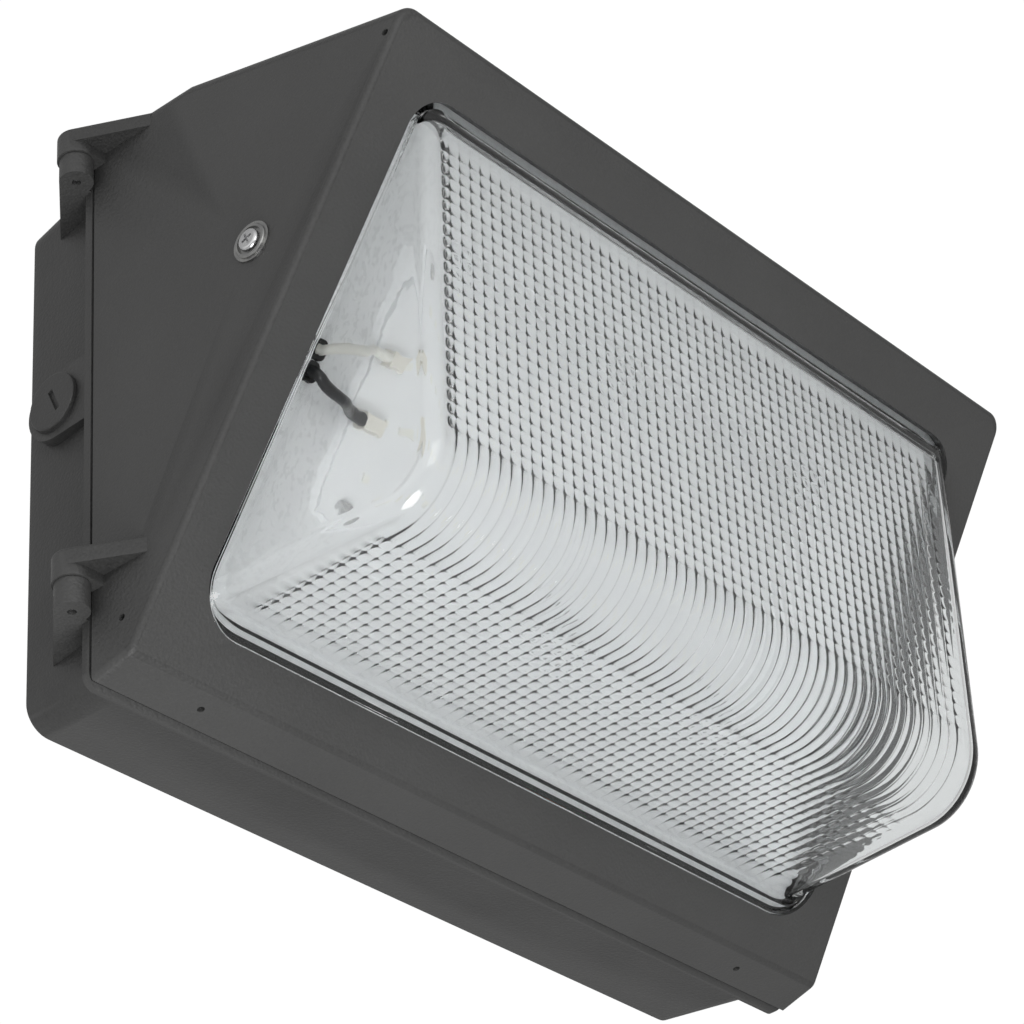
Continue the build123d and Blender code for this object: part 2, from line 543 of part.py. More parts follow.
# conduit plugs: slotted head on a seal washer, shank in the boss
seals = []
for s, name in ((-1, "conduit_plug_left"), (1, "conduit_plug_right")):
    head = cyl_x(s * (CB_X + 0.8), s * 176.9, CB_Y - 0.4, CB_Z + 0.3, 11.3)
    top = [e for e in head.edges() if e.geom_type == GeomType.CIRCLE and abs((e @ 0).X) > 176.5]
    head = fillet(top, 0.7)
    slot = Pos(s * 177.2, CB_Y - 1.8, CB_Z) * Rot(s * 23 if s < 0 else -23, 0, 0) * Box(2.8, 2.2, 10.4)
    plug = (head - slot) + cyl_x(s * 163.0, s * (CB_X + 0.9), CB_Y, CB_Z, 10.25)
    export(plug, name)
    seals.append(cyl_x(s * CB_X, s * (CB_X + 0.8), CB_Y, CB_Z, 11.2) - cyl_x(s * 170, s * 180, CB_Y, CB_Z, 10.3))
export(Compound(children=seals), "plug_seals")

# driver on its plate
plate = box(-98, 98, PLATE_Y - 1.5, PLATE_Y, 28, 86)
for x, z in PLATE_AT:
    plate = plate - cyl_y(x, PLATE_Y + 1, PLATE_Y - 3, z, 1.8)
export(plate, "driver_plate")
drv = box(-78, 78, -36.5, PLATE_Y - 1.5, 32, 82)
drv = fillet(drv.edges().filter_by(Axis.Y), 3.0)
drv = fillet(drv.faces().sort_by(Axis.Y)[0].edges(), 1.5)
export(drv, "led_driver")
ps = []
for x, z in PLATE_AT:
    ps.append(cyl_y(x, PLATE_Y - 1.5, PLATE_Y - 3.7, z, 3.2) + cyl_y(x, PLATE_Y - 1.6, -4.0, z, 1.5))
export(Compound(children=ps), "driver_plate_screws")

# ground screw and wire connectors
export(cyl_y(GND[0], -6.8, -9.0, GND[1], 3.6) + cyl_y(GND[0], -6.9, -3.0, GND[1], 1.5), "ground_screw")


def nut_up(x, y, z_top):
    """Wire connector with its mouth up."""
    return Pos(x, y, z_top - 10.0) * Cone(3.4, 5.2, 20.0)


def nut_down(x, y, z_low):
    return Pos(x, y, z_low + 10.0) * Cone(5.2, 3.4, 20.0)


NB, NW, NG = (122.0, -21.0, 20.0), (106.0, -21.0, 6.0), (92.0, -21.0, -30.0)
export(Compound(children=[nut_up(*NB), nut_up(*NW), nut_down(*NG)]), "wire_connectors")
sb = lead([(78.4, -20, 70), (98, -20, 69), (118, -20.5, 60), (122, -21, 42), NB], LEAD_R, "supply_lead_black")
swt = lead([(78.4, -20, 52), (90, -20.3, 51), (102, -20.6, 44), (106, -21, 28), NW], LEAD_R, "supply_lead_white")
ring = cyl_y(GND[0], -6.0, -6.8, GND[1], 3.6) - cyl_y(GND[0], -5, -8, GND[1], 1.55)
ring = ring + box(GND[0] + 3.0, GND[0] + 9.0, -6.8, -6.0, GND[1] - 1.1, GND[1] + 1.1)
gl = lead([(GND[0] + 7.0, -7.9, GND[1]), (GND[0] + 15.0, -8.6, GND[1]), (90.0, -15.0, -60.0), (92.0, -21.0, -50.0), NG], LEAD_R, "ground_lead")
export(ring + gl, "ground_lead")
export(sb, "supply_lead_black")
export(swt, "supply_lead_white")

# driver output leads to the housing half of the quick-disconnect
socket = box(CONN_X - 6, CONN_X + 6, -50.3, -37.4, CONN_Z - 6, CONN_Z + 6)
socket = chamfer(socket.edges().filter_by(Axis.Y), 1.0)
export(socket, "connector_socket")
dw = lead([(-78.4, -20, 64), (-98, -19, 63), (-122, -16, 52), (-140, -13.5, 33), (-149, -13, 14), (-150.2, -19.5, 0), (CONN_X, -36.9, -2.4)], LEAD_R, "driver_lead_white")
db = lead([(-78.4, -20, 50), (-94, -19, 49), (-114, -15.5, 40), (-132, -12.5, 22), (-144, -12.6, 4), (-149.6, -19.0, -7.0), (CONN_X, -36.9, -7.6)], LEAD_R, "driver_lead_black")
export(dw, "driver_lead_white")
export(db, "driver_lead_black")

# ---- captive closing screws ------------------------------------------------------------------
for name, rname, z in (("closing_screw_upper", "retaining_ring_upper", LUG_Z[0]), ("closing_screw_lower", "retaining_ring_lower", LUG_Z[1])):
    hd = cyl_y(LUG_X, -58.3, -62.3, z, 4.8)
    hd = fillet([e for e in hd.edges() if e.geom_type == GeomType.CIRCLE and (e @ 0).Y < -62], 1.2)
    cross = Pos(LUG_X, -61.6, z) * (Box(5.4, 2.2, 1.1) + Box(1.1, 2.2, 5.4))
    scr = (hd - cross) + cyl_y(LUG_X, -58.4, -36.4, z, SCREW_R)
    scr = scr - (cyl_y(LUG_X, -46.8, -45.9, z, 4.0) - cyl_y(LUG_X, -48, -44, z, 1.9))
    scr = chamfer([e for e in scr.edges() if e.geom_type == GeomType.CIRCLE and (e @ 0).Y > -36.6], 0.5)
    export(scr, name)
    rr = cyl_y(LUG_X, -46.75, -45.95, z, 4.2) - cyl_y(LUG_X, -48, -44, z, 1.92)
    rr = rr - box(LUG_X - 1.3, LUG_X + 1.3, -48, -44, z, z + 6)
    export(rr, rname)

print("nodes", len([f for f in os.listdir("parts") if f.endswith(".step")]))
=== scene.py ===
import math

import bpy
import numpy as np
from mathutils import Matrix, Vector


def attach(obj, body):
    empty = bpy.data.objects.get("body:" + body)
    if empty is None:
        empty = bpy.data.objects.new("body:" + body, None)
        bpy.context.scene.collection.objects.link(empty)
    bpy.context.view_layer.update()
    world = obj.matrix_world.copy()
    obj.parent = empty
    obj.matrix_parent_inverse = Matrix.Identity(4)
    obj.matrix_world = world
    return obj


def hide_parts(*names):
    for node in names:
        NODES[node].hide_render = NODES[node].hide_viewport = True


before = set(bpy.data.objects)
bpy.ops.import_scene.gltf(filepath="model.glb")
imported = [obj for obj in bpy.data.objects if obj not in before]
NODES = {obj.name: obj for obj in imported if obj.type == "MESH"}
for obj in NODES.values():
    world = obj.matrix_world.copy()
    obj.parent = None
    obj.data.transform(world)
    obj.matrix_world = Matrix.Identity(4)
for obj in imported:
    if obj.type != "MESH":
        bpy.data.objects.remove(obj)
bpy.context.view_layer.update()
MM = 0.001

# ---------------------------------------------------------------------------------------------
# The lamp's front face: u along the width, v up the face from its top edge, w out of it, in mm
# ---------------------------------------------------------------------------------------------
FC, FS = 0.8394, 0.5435


def from_face(u, v, w):
    return u, -192.2 - FS * v - FC * w, 89.3 + FC * v - FS * w


def to_face(y, z):
    return FC * (z - 89.3) - FS * (y + 192.2), -FC * (y + 192.2) - FS * (z - 89.3)


def end_u(v, w):
    """Half width of the glass bowl at its end panels."""
    return 149.0 + (-23.0 - v) * 0.04534 - 0.07 * w


def mesh_from_arrays(name, verts, faces, smooth=True):
    me = bpy.data.meshes.new(name)
    me.from_pydata([tuple(p) for p in verts], [], [tuple(f) for f in faces])
    me.update()
    if smooth:
        me.polygons.foreach_set("use_smooth", [True] * len(me.polygons))
    ob = bpy.data.objects.new(name, me)
    bpy.context.scene.collection.objects.link(ob)
    return ob


# ---------------------------------------------------------------------------------------------
# Glass
# ---------------------------------------------------------------------------------------------
P_A = (-170.095, 72.639)    # section of the bowl's outside, y and z: top edge, lip, nose, lower edge
P_B = (-178.6, 66.9)
P_C = (-171.6, -90.6)
P_D = (-60.0, -88.0)
NOSE_R, LIP_R, END_R, GLASS_T = 26.0, 2.6, 8.0, 4.5
FLUTE, FLUTE_N, FLUTE_R = 5.22, 53, 13.0
FLUTE_U = FLUTE * FLUTE_N / 2.0
ROW_R = 12.0
ROWS_FRONT = (56.8, -61.8, 23)      # z of the first and last prism row's edge, and how many rows
ROWS_LOW = (-139.2, -78.9, 12)      # the same along y on the lower panel
FOOT_W = -6.0        # height at which the inner skin meets the underside of the flange


def unit(a, b):
    d = math.hypot(b[0] - a[0], b[1] - a[1])
    return (b[0] - a[0]) / d, (b[1] - a[1]) / d


def cross2(a, b):
    return a[0] * b[1] - a[1] * b[0]


def offset_line(a, b, d):
    """Line from a to b moved inwards by d, as (point, direction, outward normal)."""
    t = unit(a, b)
    o = (t[1], -t[0])
    return (a[0] - o[0] * d, a[1] - o[1] * d), t, o


def meet(l0, l1):
    p, t, _ = l0
    q, s, _ = l1
    k = cross2((q[0] - p[0], q[1] - p[1]), s) / cross2(t, s)
    return p[0] + t[0] * k, p[1] + t[1] * k


def at_height(line, w_end):
    """Where a line crosses the plane w = w_end."""
    p, t, _ = line
    w0 = to_face(*p)[1]
    w1 = to_face(p[0] + t[0], p[1] + t[1])[1]
    k = (w_end - w0) / (w1 - w0)
    return p[0] + t[0] * k, p[1] + t[1] * k


class Profile:
    """Section of a skin of the bowl, y and z, moved inwards by d: straight parts joined by arcs, cut at a plane w at both ends."""

    def __init__(self, pts, radii, d, w_end):
        L = [offset_line(a, b, d) for a, b in zip(pts, pts[1:])]
        corners = [meet(a, b) for a, b in zip(L, L[1:])]
        at = at_height(L[0], w_end)
        self.parts = []
        for i, (c, r) in enumerate(zip(corners, radii)):
            t0, t1 = L[i][1], L[i + 1][1]
            turn = math.acos(max(-1, min(1, t0[0] * t1[0] + t0[1] * t1[1])))
            r = max(r - d, 0.4)
            back = r * math.tan(turn / 2)
            c0 = (c[0] - t0[0] * back, c[1] - t0[1] * back)
            c1 = (c[0] + t1[0] * back, c[1] + t1[1] * back)
            self.parts.append(("line", at, c0, L[i][2]))
            self.parts.append(("arc", c0, c1, L[i][2], L[i + 1][2], r, cross2(t0, t1)))
            at = c1
        self.parts.append(("line", at, at_height(L[-1], w_end), L[-1][2]))

    def at(self, part, k):
        """Point and outward normal at the share k of a part."""
        p = self.parts[part]
        if p[0] == "line":
            return (p[1][0] + (p[2][0] - p[1][0]) * k, p[1][1] + (p[2][1] - p[1][1]) * k), p[3]
        o0, o1, r = p[3], p[4], p[5]
        side = 1.0 if p[6] > 0 else -1.0
        a0, a1 = math.atan2(o0[1], o0[0]), math.atan2(o1[1], o1[0])
        while a1 - a0 > math.pi:
            a1 -= 2 * math.pi
        while a1 - a0 < -math.pi:
            a1 += 2 * math.pi
        a = a0 + (a1 - a0) * k
        cx, cz = p[1][0] - side * o0[0] * r, p[1][1] - side * o0[1] * r
        return (cx + side * math.cos(a) * r, cz + side * math.sin(a) * r), (math.cos(a), math.sin(a))


def crown(f, pitch, r):
    """Drop from the crown of a round rib of that pitch and radius; f is 0 on the crown and 1 in the groove."""
    x = f * pitch / 2.0
    return r - math.sqrt(r * r - x * x)


def flute_drop(u):
    """Depth of the outer fluting at u: round flutes between narrow grooves."""
    x = (u + FLUTE_U) / FLUTE
    f = 1.0 if x < 1e-6 or x > FLUTE_N - 1e-6 else abs((x % 1.0) - 0.5) * 2.0
    return crown(f, FLUTE, FLUTE_R) + 0.10 * max(0.0, (f - 0.84) / 0.16) ** 2


def ease(x):
    x = max(0.0, min(1.0, x))
    return x * x * (3 - 2 * x)


def skin(pts, radii, side_in, end_r, st, us, relief, w_end, panel_n, wave):
    """Grid of points: rows are stations along the section, columns run from the left end panel across to the right one."""
    cols = [("panel", 1.0 - i / panel_n, -1) for i in range(panel_n)]
    cols += [("round", 1.0 - i / 10.0, -1) for i in range(11)]
    cols += [("u", u, 0) for u in us]
    cols += [("round", i / 10.0, 1) for i in range(11)]
    cols += [("panel", (i + 1) / panel_n, 1) for i in range(panel_n)]
    profs = {}

    def prof(d):
        key = round(d, 4)
        if key not in profs:
            profs[key] = Profile(pts, radii, d, w_end)
        return profs[key]

    deep = prof(end_r)
    last = len(deep.parts) - 1
    a_end, _ = deep.at(0, 0.0)
    d_end, _ = deep.at(last, 1.0)
    grid = []
    for si, (part, k) in enumerate(st):
        row = []
        for kind, val, side in cols:
            if kind == "panel":
                (y, z), n = deep.at(part, k)
                f = si / (len(st) - 1.0)
                ly, lz = a_end[0] + (d_end[0] - a_end[0]) * f, a_end[1] + (d_end[1] - a_end[1]) * f
                y, z = y + (ly - y) * val, z + (lz - z) * val
                v, w = to_face(y, z)
                bend = wave * math.sin(0.10 * y + 0.17 * z + 1.3) * math.cos(0.15 * y - 0.07 * z + 0.4 * side)
                bend *= ease(val * 6.0) * ease((1.0 - val) * 6.0) * ease(f * 20.0) * ease((1.0 - f) * 20.0)
                row.append((side * (end_u(v, w) - side_in + bend), y, z))
            elif kind == "round":
                a = val * math.pi / 2
                (y, z), n = prof(end_r * (1 - math.cos(a))).at(part, k)
                v, w = to_face(y, z)
                row.append((side * (end_u(v, w) - side_in - end_r + end_r * math.sin(a)), y, z))
            else:
                (y, z), n = prof(0.0).at(part, k)
                h = relief(val, part, y, z)
                row.append((val, y - n[0] * h, z - n[1] * h))
        grid.append(row)
    return grid


def build_glass():
    """The outer fluted skin and the inner prism skin of the bowl."""
    # outer skin: flutes run over the front panel, round the nose and along the lower panel
    out_pts, out_r = [P_A, P_B, P_C, P_D], [LIP_R, NOSE_R]
    op = Profile(out_pts, out_r, 0.0, -0.8)
    (y0, z0), _ = op.at(2, 0.0)
    (y1, z1), _ = op.at(2, 1.0)
    st = [(0, i / 2) for i in range(2)] + [(1, i / 5) for i in range(5)]
    # two fine ribs in the plain band along the top, then the fluted field
    zs = [z0, 66.0, 65.3, 64.9, 64.4, 63.6, 61.0, 59.6, 59.2, 58.7, 58.1, 57.6, 57.1, 56.6, 56.0, 55.4, 54.6]
    zs = [z for z in zs if z <= z0]
    zs += list(np.linspace(52.0, z1, 26))[:-1]
    st += [(2, (z0 - z) / (z0 - z1)) for z in zs]
    st += [(3, i / 20) for i in range(20)]
    st += [(4, i / 16) for i in range(16)] + [(4, 0.955), (4, 0.975), (4, 1.0)]
    us = list(np.linspace(-140.5, 140.5, 57))

    def out_relief(u, part, y, z):
        if part == 2 and z > 56.8:
            return 0.35 if (64.5 < z < 65.5 or 58.5 < z < 59.4) else 0.0
        return 0.0

    outer = skin(out_pts, out_r, 0.0, END_R, st, us, out_relief, -0.8, 8, 0.0)

    # inner skin: thicker along the top and the lower edge, rows of prisms on the front and lower panels
    fl = offset_line(P_B, P_C, GLASS_T)
    bl = offset_line(P_C, P_D, GLASS_T)
    top_a, top_b = from_face(0, -31.0, -9.5)[1:], from_face(0, -31.0, 0.0)[1:]
    b_in = meet((top_a, unit(top_a, top_b), None), fl)
    c_in = meet(fl, bl)
    in_pts, in_r = [top_a, b_in, c_in, (c_in[0] + 120.0 * bl[1][0], c_in[1] + 120.0 * bl[1][1])], [3.0, NOSE_R - GLASS_T]
    ip = Profile(in_pts, in_r, 0.0, FOOT_W)
    (y0, z0), _ = ip.at(2, 0.0)
    (y1, z1), _ = ip.at(2, 1.0)
    za, zb, nf = ROWS_FRONT
    zp = (za - zb) / nf
    st = [(0, i / 3) for i in range(3)] + [(1, i / 6) for i in range(6)]
    zs = [z0] + [za - zp * i / 8.0 for i in range(nf * 8 + 1)]
    zs = sorted({round(z, 5) for z in zs if z1 < z <= z0}, reverse=True)
    st += [(2, (z0 - z) / (z0 - z1)) for z in zs]
    st += [(3, i / 20) for i in range(20)]
    (y2, z2), _ = ip.at(4, 0.0)
    (y3, z3), _ = ip.at(4, 1.0)
    ya, yb, nl = ROWS_LOW
    yp = (yb - ya) / nl
    ys = [y2] + [ya + yp * i / 8.0 for i in range(nl * 8 + 1)]
    ys = sorted({round(y, 5) for y in ys if y2 <= y < y3})
    st += [(4, (y - y2) / (y3 - y2)) for y in ys] + [(4, 1.0)]
    per = 8
    ius = [-FLUTE_U + FLUTE * i / per for i in range(FLUTE_N * per + 1)]
    ius = [-140.3, -139.9, -139.1] + ius + [139.1, 139.9, 140.3]

    def in_relief(u, part, y, z):
        # ribs stand into the bowl, so the height is taken inwards
        if part in (2, 3, 4):
            k = 1.0
            if part == 2:
                k = ease((za + 0.6 - z) / 1.2)
            if part == 4:
                k = ease((yb + 1.2 - y) / 1.2)
            h = (SAG_U - flute_drop(u)) * k
            edge = ease((140.3 - abs(u)) / 0.8)
            if part == 2 and zb <= z <= za:
                x = (za - z) / zp
                h += (SAG - crown(abs((x % 1.0) - 0.5) * 2.0, zp, ROW_R)) * edge
            if part == 4 and ya <= y <= yb:
                x = (y - ya) / yp
                h += (SAG - crown(abs((x % 1.0) - 0.5) * 2.0, yp, ROW_R)) * edge
            return h
        return 0.0

    inner = skin(in_pts, in_r, GLASS_T, END_R - 4.0, st, ius, in_relief, FOOT_W, 16, 0.12)
    return outer, inner


SAG = crown(1.0, 5.2, ROW_R)
SAG_U = flute_drop(-FLUTE_U)


def add_grid(grid, flip):
    base = len(bv)
    rows, n = len(grid), len(grid[0])
    for row in grid:
        bv.extend(row)
    for i in range(rows - 1):
        for j in range(n - 1):
            a, b = base + i * n + j, base + i * n + j + 1
            c, d = base + (i + 1) * n + j + 1, base + (i + 1) * n + j
            bf.append((a, b, c, d) if flip else (a, d, c, b))
    return base, rows, n


def rim_loop(base, rows, n):
    """The open border of a bowl grid, once round: top edge, right panel edge, bottom edge, left panel edge."""
    top = [base + j for j in range(n)]
    right = [base + i * n + n - 1 for i in range(1, rows)]
    bottom = [base + (rows - 1) * n + j for j in range(n - 2, -1, -1)]
    left = [base + i * n for i in range(rows - 2, 0, -1)]
    return top + right + bottom + left


def stitch(verts, faces, la, lb, flip=False):
    """Joins two closed loops by triangles, matched by their share of each loop's length."""
    def shares(loop):
        s, out = 0.0, [0.0]
        for a, b in zip(loop, loop[1:] + loop[:1]):
            s += math.dist(verts[a], verts[b])
            out.append(s)
        return [x / s for x in out]

    # start the second loop at the point nearest to the first one's start
    k = min(range(len(lb)), key=lambda i: math.dist(verts[lb[i]], verts[la[0]]))
    lb = lb[k:] + lb[:k]
    sa, sb = shares(la), shares(lb)
    i = j = 0
    na, nb = len(la), len(lb)
    while i < na or j < nb:
        if j >= nb or (i < na and sa[i + 1] <= sb[j + 1]):
            tri = (la[i % na], la[(i + 1) % na], lb[j % nb])
            i += 1
        else:
            tri = (la[i % na], lb[(j + 1) % nb], lb[j % nb])
            j += 1
        faces.append(tri[::-1] if flip else tri)


def opening_loop(grow, w, per_corner=10):
    """Outline of the opening in the front face, grown by a margin, at height w, as points in mm."""
    k = (161.5 - 152.5) / (-23.0 + 221.5)
    g = grow * math.hypot(1.0, k)
    vt, vb = -23.0 + grow, -221.5 - grow
    ht, hb = 152.5 + g - k * grow, 161.5 + g + k * grow
    pts = [(-ht, vt, 15.0 + grow), (ht, vt, 15.0 + grow), (hb, vb, 20.0 + grow), (-hb, vb, 20.0 + grow)]
    out = []
    for i in range(4):
        p, q, r0 = pts[i - 1], pts[(i + 1) % 4], pts[i]
        t0, t1 = unit(p[:2], r0[:2]), unit(r0[:2], q[:2])
        r = max(r0[2], 1.5)
        turn = math.acos(t0[0] * t1[0] + t0[1] * t1[1])
        back = r * math.tan(turn / 2)
        a = (r0[0] - t0[0] * back, r0[1] - t0[1] * back)
        n0 = (t0[1], -t0[0])
        c = (a[0] + n0[0] * r, a[1] + n0[1] * r)
        ang0 = math.atan2(-n0[1], -n0[0])
        for s in range(per_corner + 1):
            th = ang0 - turn * s / per_corner
            out.append((c[0] + r * math.cos(th), c[1] + r * math.sin(th)))
    # even spacing along the straights
    dense = []
    for a, b in zip(out, out[1:] + out[:1]):
        n = max(1, int(math.dist(a, b) / 6.0))
        for s in range(n):
            dense.append((a[0] + (b[0] - a[0]) * s / n, a[1] + (b[1] - a[1]) * s / n))
    return [from_face(x, y, w) for x, y in dense]


def even_loop(points, m):
    """A closed loop taken at m even shares of its length, starting at its first point."""
    p = np.array(points, float)
    q = np.vstack([p, p[:1]])
    s = np.concatenate([[0.0], np.cumsum(np.linalg.norm(np.diff(q, axis=0), axis=1))])
    t = np.linspace(0.0, s[-1], m, endpoint=False)
    return np.stack([np.interp(t, s, q[:, i]) for i in range(3)], 1)


def matched(loop, other):
    """other turned to start at the point nearest to loop's first one, and to run the same way."""
    p, q = np.array(loop, float), np.array(other, float)

    def area(r):
        v = np.array([[x, to_face(y, z)[0]] for x, y, z in r])
        return 0.5 * np.sum(v[:, 0] * np.roll(v[:, 1], -1) - np.roll(v[:, 0], -1) * v[:, 1])

    if area(p) * area(q) < 0:
        q = q[::-1]
    k = int(np.argmin(np.linalg.norm(q - p[0], axis=1)))
    return np.roll(q, -k, axis=0)


bv, bf = [], []
outer_grid, inner_grid = build_glass()
og, ig = add_grid(outer_grid, False), add_grid(inner_grid, True)
lo, li = rim_loop(*og), rim_loop(*ig)
RING_M = 720
start = [bv[i] for i in lo]
base_loop = even_loop(start, RING_M)
edge = even_loop(matched(base_loop, opening_loop(-2.2, -0.8, 24)), RING_M)
edge_wide = even_loop(matched(base_loop, opening_loop(-1.1, -0.8, 24)), RING_M)
# the gap round the ledge closes up towards the bottom
for q, wide in zip(edge, edge_wide):
    q += (wide - q) * ease((-85.0 - to_face(q[1], q[2])[0]) / 40.0)
flange_b = even_loop(matched(base_loop, opening_loop(8.0, -4.5, 24)), RING_M)
flange_c = even_loop(matched(base_loop, opening_loop(8.0, -9.5, 24)), RING_M)
OUT_OF_FACE = np.array([0.0, -FC, -FS])
flange_a = edge - OUT_OF_FACE * 3.7
UP_FACE = np.array([0.0, -FS, FC])
# the bowl hangs a little low in its opening, so the gap is widest along the top
for ring in (edge, flange_a):
    for q in ring:
        q -= UP_FACE * 0.8
rings = []
# a stepped ledge with two ribs that run round the bowl
for share, lift in ((0.10, -0.9), (0.22, -1.5), (0.34, -1.5), (0.42, -0.5), (0.50, -0.2), (0.58, -0.5), (0.66, -1.5), (0.74, -1.5), (0.82, -0.4), (0.90, 0.0), (0.97, -0.1)):
    wide = np.minimum(1.0, np.linalg.norm(edge - base_loop, axis=1) / 5.0)[:, None]
    rings.append(base_loop + (edge - base_loop) * share + OUT_OF_FACE * lift * wide)
rings += [edge + OUT_OF_FACE * -0.5, flange_a, flange_b, flange_c]
first = len(bv)
for r in rings:
    bv.extend(tuple(p) for p in r)
stitch(bv, bf, lo, list(range(first, first + RING_M)))
for k in range(len(rings) - 1):
    a, b = first + k * RING_M, first + (k + 1) * RING_M
    for i in range(RING_M):
        j = (i + 1) % RING_M
        bf.append((a + i, a + j, b + j, b + i))
last = first + (len(rings) - 1) * RING_M
stitch(bv, bf, list(range(last, last + RING_M)), li)
glass = mesh_from_arrays("glass_bowl", [(x * MM, y * MM, z * MM) for x, y, z in bv], bf)

import bmesh

bm = bmesh.new()
bm.from_mesh(glass.data)
bmesh.ops.remove_doubles(bm, verts=bm.verts, dist=1e-6)
bmesh.ops.recalc_face_normals(bm, faces=bm.faces)
for e in [e for e in bm.edges if len(e.link_faces) != 2][:12]:
    print("odd edge", len(e.link_faces), [tuple(round(c * 1000, 3) for c in v.co) for v in e.verts])
print("glass open edges", sum(1 for e in bm.edges if len(e.link_faces) != 2), "faces", len(bm.faces), "volume cm3", bm.calc_volume() * 1e6)
bm.to_mesh(glass.data)
bm.free()
glass.data.polygons.foreach_set("use_smooth", [True] * len(glass.data.polygons))
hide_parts("glass_refractor")
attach(glass, "door")


# ---------------------------------------------------------------------------------------------
# Materials
# ---------------------------------------------------------------------------------------------
def new_material(name):
    m = bpy.data.materials.new(name)
    m.use_nodes = True
    nt = m.node_tree
    nt.nodes.clear()
    out = nt.nodes.new("ShaderNodeOutputMaterial")
    bsdf = nt.nodes.new("ShaderNodeBsdfPrincipled")
    nt.links.new(bsdf.outputs[0], out.inputs[0])
    return m, nt, bsdf


def coords(nt):
    tc = nt.nodes.new("ShaderNodeTexCoord")
    return tc.outputs["Object"]


def noise(nt, vec, scale, detail=2.0, rough=0.5):
    n = nt.nodes.new("ShaderNodeTexNoise")
    n.inputs["Scale"].default_value = scale
    n.inputs["Detail"].default_value = detail
    n.inputs["Roughness"].default_value = rough
    nt.links.new(vec, n.inputs["Vector"])
    return n.outputs["Fac"]


def ramp(nt, fac, stops):
    r = nt.nodes.new("ShaderNodeValToRGB")
    els = r.color_ramp.elements
    els[0].position, els[0].color = stops[0][0], (*stops[0][1], 1)
    els[1].position, els[1].color = stops[-1][0], (*stops[-1][1], 1)
    for p, c in stops[1:-1]:
        e = els.new(p)
        e.color = (*c, 1)
    nt.links.new(fac, r.inputs[0])
    return r.outputs[0]


def spread(nt, fac, a, b, lo, hi):
    m = nt.nodes.new("ShaderNodeMapRange")
    m.inputs["From Min"].default_value = a
    m.inputs["From Max"].default_value = b
    m.inputs["To Min"].default_value = lo
    m.inputs["To Max"].default_value = hi
    nt.links.new(fac, m.inputs["Value"])
    return m.outputs["Result"]


def bump(nt, height, strength, distance, normal=None):
    b = nt.nodes.new("ShaderNodeBump")
    b.inputs["Strength"].default_value = strength
    b.inputs["Distance"].default_value = distance
    nt.links.new(height, b.inputs["Height"])
    if normal is not None:
        nt.links.new(normal, b.inputs["Normal"])
    return b.outputs["Normal"]


def surface(name, c0, c1, rough, metallic=0.0, grain=(400.0, 0.10, 0.0002), mottle=25.0, rough_var=0.08, spec=0.5, coat=0.0, coat_rough=0.2, brushed=None):
    """A finish with a slow change of colour, a fine grain in roughness and bump."""
    m, nt, b = new_material(name)
    vec = coords(nt)
    slow = noise(nt, vec, mottle, 3.0)
    nt.links.new(ramp(nt, slow, [(0.3, c0), (0.7, c1)]), b.inputs["Base Color"])
    src = vec
    if brushed:
        mp = nt.nodes.new("ShaderNodeMapping")
        mp.inputs["Scale"].default_value = brushed
        nt.links.new(vec, mp.inputs["Vector"])
        src = mp.outputs["Vector"]
    fine = noise(nt, src, grain[0], 2.0)
    nt.links.new(spread(nt, fine, 0.3, 0.7, rough - rough_var, rough + rough_var), b.inputs["Roughness"])
    nt.links.new(bump(nt, fine, grain[1], grain[2]), b.inputs["Normal"])
    b.inputs["Metallic"].default_value = metallic
    b.inputs["Specular IOR Level"].default_value = spec
    b.inputs["Coat Weight"].default_value = coat
    b.inputs["Coat Roughness"].default_value = coat_rough
    return m


def casting_material(name, c0, c1, rough):
    """Fine-textured powder coat: small round bumps, a slightly mottled tone and a painted highlight that lightens the
    sharp edges.
    """
    m, nt, b = new_material(name)
    vec = coords(nt)
    slow = noise(nt, vec, 18.0, 4.0, 0.6)
    speck = noise(nt, vec, 1300.0, 2.0, 0.6)
    grainy = nt.nodes.new("ShaderNodeMath")
    grainy.operation = "MULTIPLY_ADD"
    grainy.inputs[1].default_value = 0.6
    nt.links.new(speck, grainy.inputs[0])
    nt.links.new(spread(nt, slow, 0.0, 1.0, 0.0, 0.4), grainy.inputs[2])
    base = ramp(nt, grainy.outputs[0], [(0.25, c0), (0.75, c1)])
    # painted highlight: sharp convex edges are made lighter, standing in for the light that the edge fillets catch
    geo = nt.nodes.new("ShaderNodeNewGeometry")
    edge_highlight = spread(nt, geo.outputs["Pointiness"], 0.515, 0.56, 0.0, 0.35)
    mix = nt.nodes.new("ShaderNodeMix")
    mix.data_type = "RGBA"
    nt.links.new(edge_highlight, mix.inputs[0])
    nt.links.new(base, mix.inputs[6])
    # the painted highlight's colour: the coat's light tone made half again lighter
    mix.inputs[7].default_value = (c1[0] * 1.5, c1[1] * 1.5, c1[2] * 1.5, 1)
    nt.links.new(mix.outputs[2], b.inputs["Base Color"])
    nt.links.new(spread(nt, speck, 0.3, 0.7, rough - 0.07, rough + 0.07), b.inputs["Roughness"])
    vor = nt.nodes.new("ShaderNodeTexVoronoi")
    vor.inputs["Scale"].default_value = 850.0
    vor.feature = "SMOOTH_F1"
    nt.links.new(vec, vor.inputs["Vector"])
    n1 = bump(nt, vor.outputs["Distance"], 0.40, 0.0004)
    n2 = bump(nt, speck, 0.35, 0.0003, n1)
    nt.links.new(n2, b.inputs["Normal"])
    b.inputs["Specular IOR Level"].default_value = 0.5
    return m


